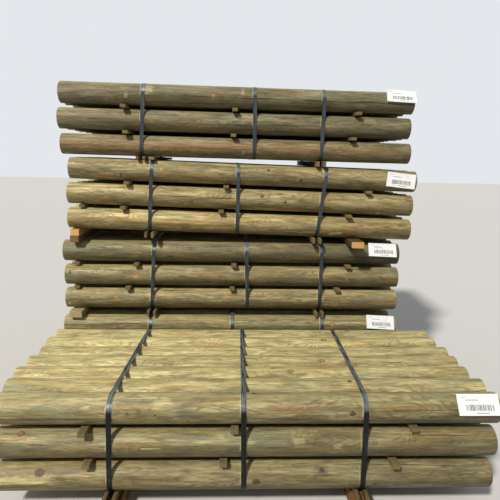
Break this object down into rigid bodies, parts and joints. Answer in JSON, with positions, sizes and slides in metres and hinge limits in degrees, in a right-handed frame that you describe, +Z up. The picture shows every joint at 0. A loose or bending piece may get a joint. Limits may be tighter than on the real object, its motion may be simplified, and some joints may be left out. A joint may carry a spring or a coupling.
{
  "type": "stack of logs",
  "caption": "Yard pile of round treated timber posts in strapped bundles, with laths between the layers, on ground bearers, with a low bundle in front of the high pile.",
  "frame": {"origin": "on the ground, under the middle of the pile's bounding box", "axes": "+X to the right along the posts, seen from the front bundle's side; +Y from the front bundle to the high rear pile; +Z up"},
  "size_m": [2.5364, 2.5164, 2.2474],
  "materials": {
    "front_posts": "peeled and pressure treated, weathered, matte",
    "rear_first_posts": "peeled and pressure treated, weathered, matte",
    "rear_second_posts": "peeled and pressure treated, weathered, matte",
    "rear_third_posts": "peeled and pressure treated, weathered, matte",
    "rear_fourth_posts": "peeled and pressure treated, weathered, matte",
    "lath_pine": "rough sawn, weathered",
    "bearer_pine": "rough sawn, weathered",
    "plank_pine": "rough sawn, weathered",
    "timber_pine": "rough sawn, fresh cut ends",
    "strap_steel": "black painted and waxed steel strapping",
    "tag_card": "stiff printed card, matte"
  },
  "bodies": {
    "root": {"front_bottom_posts": "front_posts", "front_cradle_laths": "lath_pine", "front_left_strap": "strap_steel", "front_lower_stickers": "lath_pine", "front_middle_posts": "front_posts", "front_middle_strap": "strap_steel", "front_right_strap": "strap_steel", "front_tag": "tag_card", "front_top_posts": "front_posts", "front_upper_stickers": "lath_pine", "left_bearer": "bearer_pine", "left_timbers": "timber_pine", "plank": "plank_pine", "rear_first_bottom_posts": "rear_first_posts", "rear_first_cradle_laths": "lath_pine", "rear_first_left_strap": "strap_steel", "rear_first_lower_stickers": "lath_pine", "rear_first_middle_posts": "rear_first_posts", "rear_first_middle_strap": "strap_steel", "rear_first_right_strap": "strap_steel", "rear_first_tag": "tag_card", "rear_first_top_posts": "rear_first_posts", "rear_first_upper_stickers": "lath_pine", "rear_fourth_bottom_posts": "rear_fourth_posts", "rear_fourth_cradle_laths": "lath_pine", "rear_fourth_left_strap": "strap_steel", "rear_fourth_lower_stickers": "lath_pine", "rear_fourth_middle_posts": "rear_fourth_posts", "rear_fourth_middle_strap": "strap_steel", "rear_fourth_right_strap": "strap_steel", "rear_fourth_tag": "tag_card", "rear_fourth_top_posts": "rear_fourth_posts", "rear_fourth_upper_stickers": "lath_pine", "rear_second_bottom_posts": "rear_second_posts", "rear_second_cradle_laths": "lath_pine", "rear_second_left_strap": "strap_steel", "rear_second_lower_stickers": "lath_pine", "rear_second_middle_posts": "rear_second_posts", "rear_second_middle_strap": "strap_steel", "rear_second_right_strap": "strap_steel", "rear_second_tag": "tag_card", "rear_second_top_posts": "rear_second_posts", "rear_second_upper_stickers": "lath_pine", "rear_third_bottom_posts": "rear_third_posts", "rear_third_cradle_laths": "lath_pine", "rear_third_left_strap": "strap_steel", "rear_third_lower_stickers": "lath_pine", "rear_third_middle_posts": "rear_third_posts", "rear_third_middle_strap": "strap_steel", "rear_third_right_strap": "strap_steel", "rear_third_tag": "tag_card", "rear_third_top_posts": "rear_third_posts", "rear_third_upper_stickers": "lath_pine", "right_bearer": "bearer_pine", "right_timber": "timber_pine", "spare_lath": "lath_pine"}
  },
  "joints": []
}
